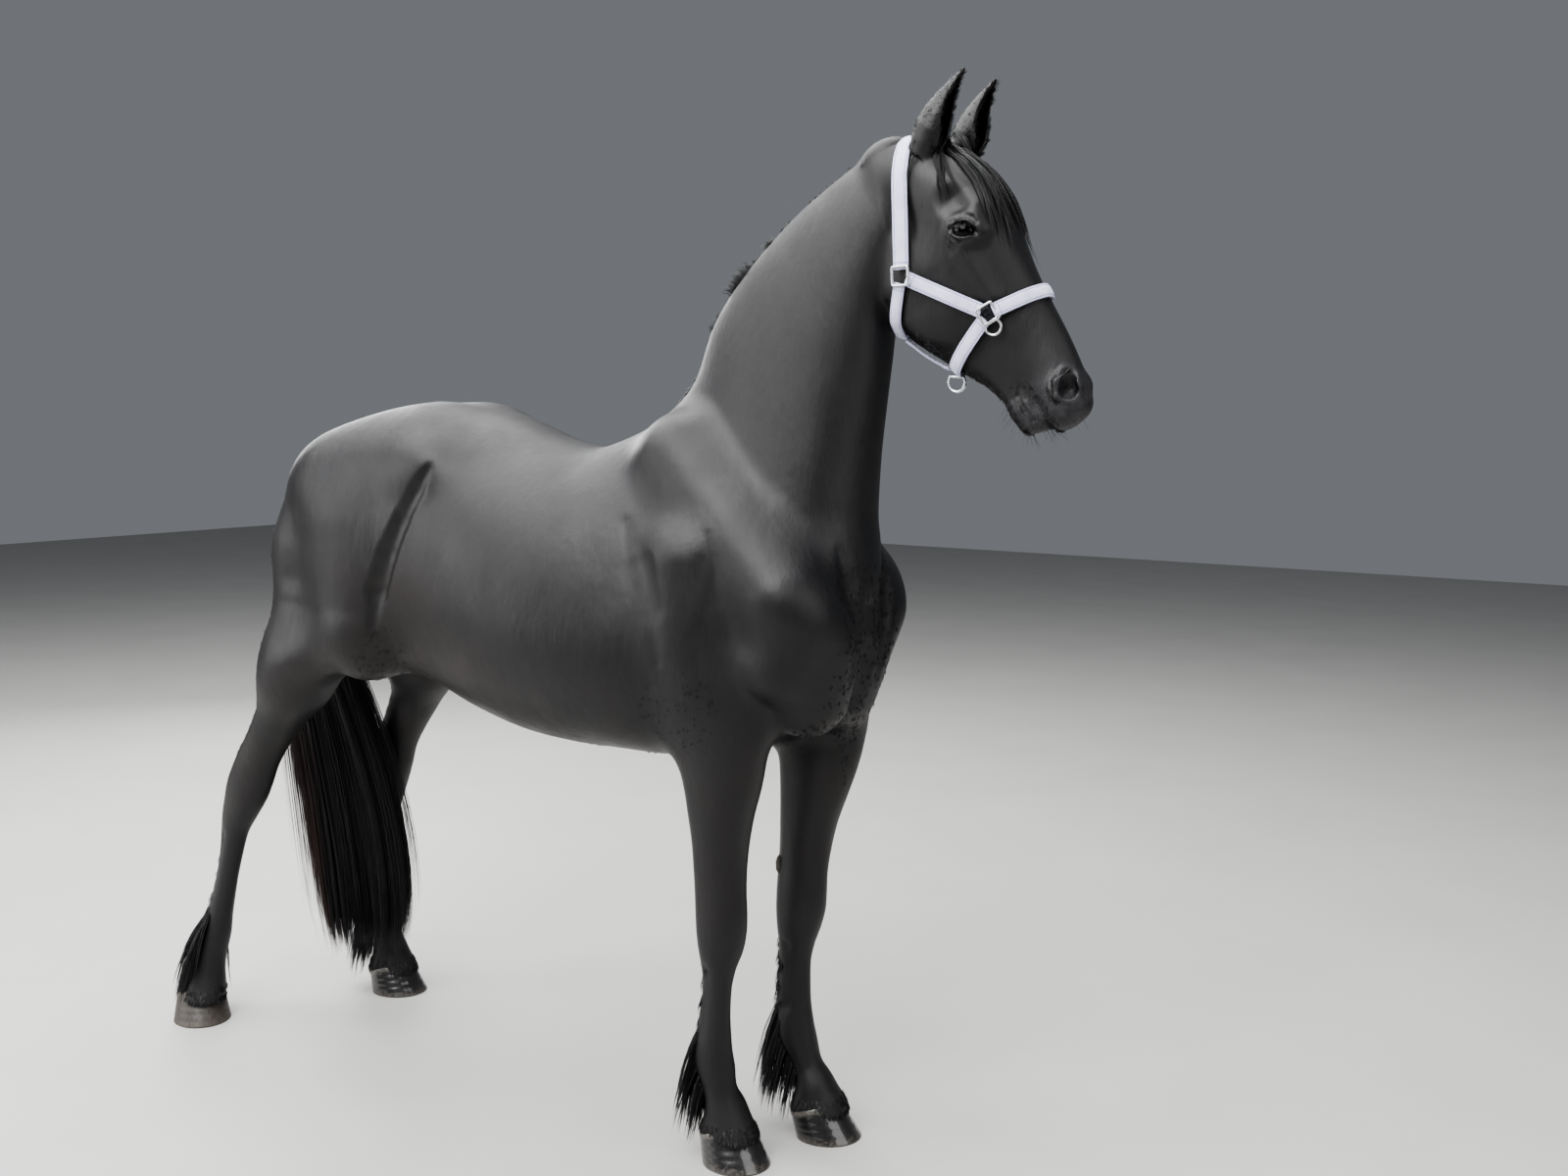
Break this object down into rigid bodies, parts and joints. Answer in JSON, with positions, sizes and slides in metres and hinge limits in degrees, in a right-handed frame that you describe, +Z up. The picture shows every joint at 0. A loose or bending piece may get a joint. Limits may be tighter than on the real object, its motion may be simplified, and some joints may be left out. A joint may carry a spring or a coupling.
{
  "type": "horse model",
  "caption": "Still, life-size standing black horse with raised head, long tail, feathered fetlocks and a light webbing head collar.",
  "frame": {"origin": "the middle of the model's box in X and Y, on the floor under the hooves", "axes": "+X forward to the head, +Y to the horse's left, +Z up"},
  "size_m": [2.3902, 0.6492, 2.2462],
  "materials": {
    "coat": "short glossy hair",
    "hair": "long straight hair",
    "horn": "wet glossy horn",
    "eye": "wet and clear",
    "webbing": "padded woven webbing",
    "steel": "polished"
  },
  "bodies": {
    "root": {"torso": "coat", "neck": "coat", "eye_right": "eye", "eye_left": "eye", "head": "coat", "foreleg_right_upper": "coat", "foreleg_right_lower": "coat", "hoof_front_right": "horn", "foreleg_left_upper": "coat", "foreleg_left_lower": "coat", "hoof_front_left": "horn", "hindleg_right_upper": "coat", "hindleg_right_lower": "coat", "hoof_hind_right": "horn", "hindleg_left_upper": "coat", "hindleg_left_lower": "coat", "hoof_hind_left": "horn", "halter_crown": "webbing", "halter_noseband": "webbing", "halter_chin": "webbing", "halter_throat": "webbing", "halter_cheek_right": "webbing", "halter_cheek_left": "webbing", "halter_square_ring_right": "steel", "halter_nose_fitting_right": "steel", "halter_square_ring_left": "steel", "halter_nose_fitting_left": "steel", "halter_jaw_strap": "webbing", "halter_chin_ring": "steel", "ear_right": "coat", "ear_left": "coat", "tail": "hair"}
  },
  "joints": []
}
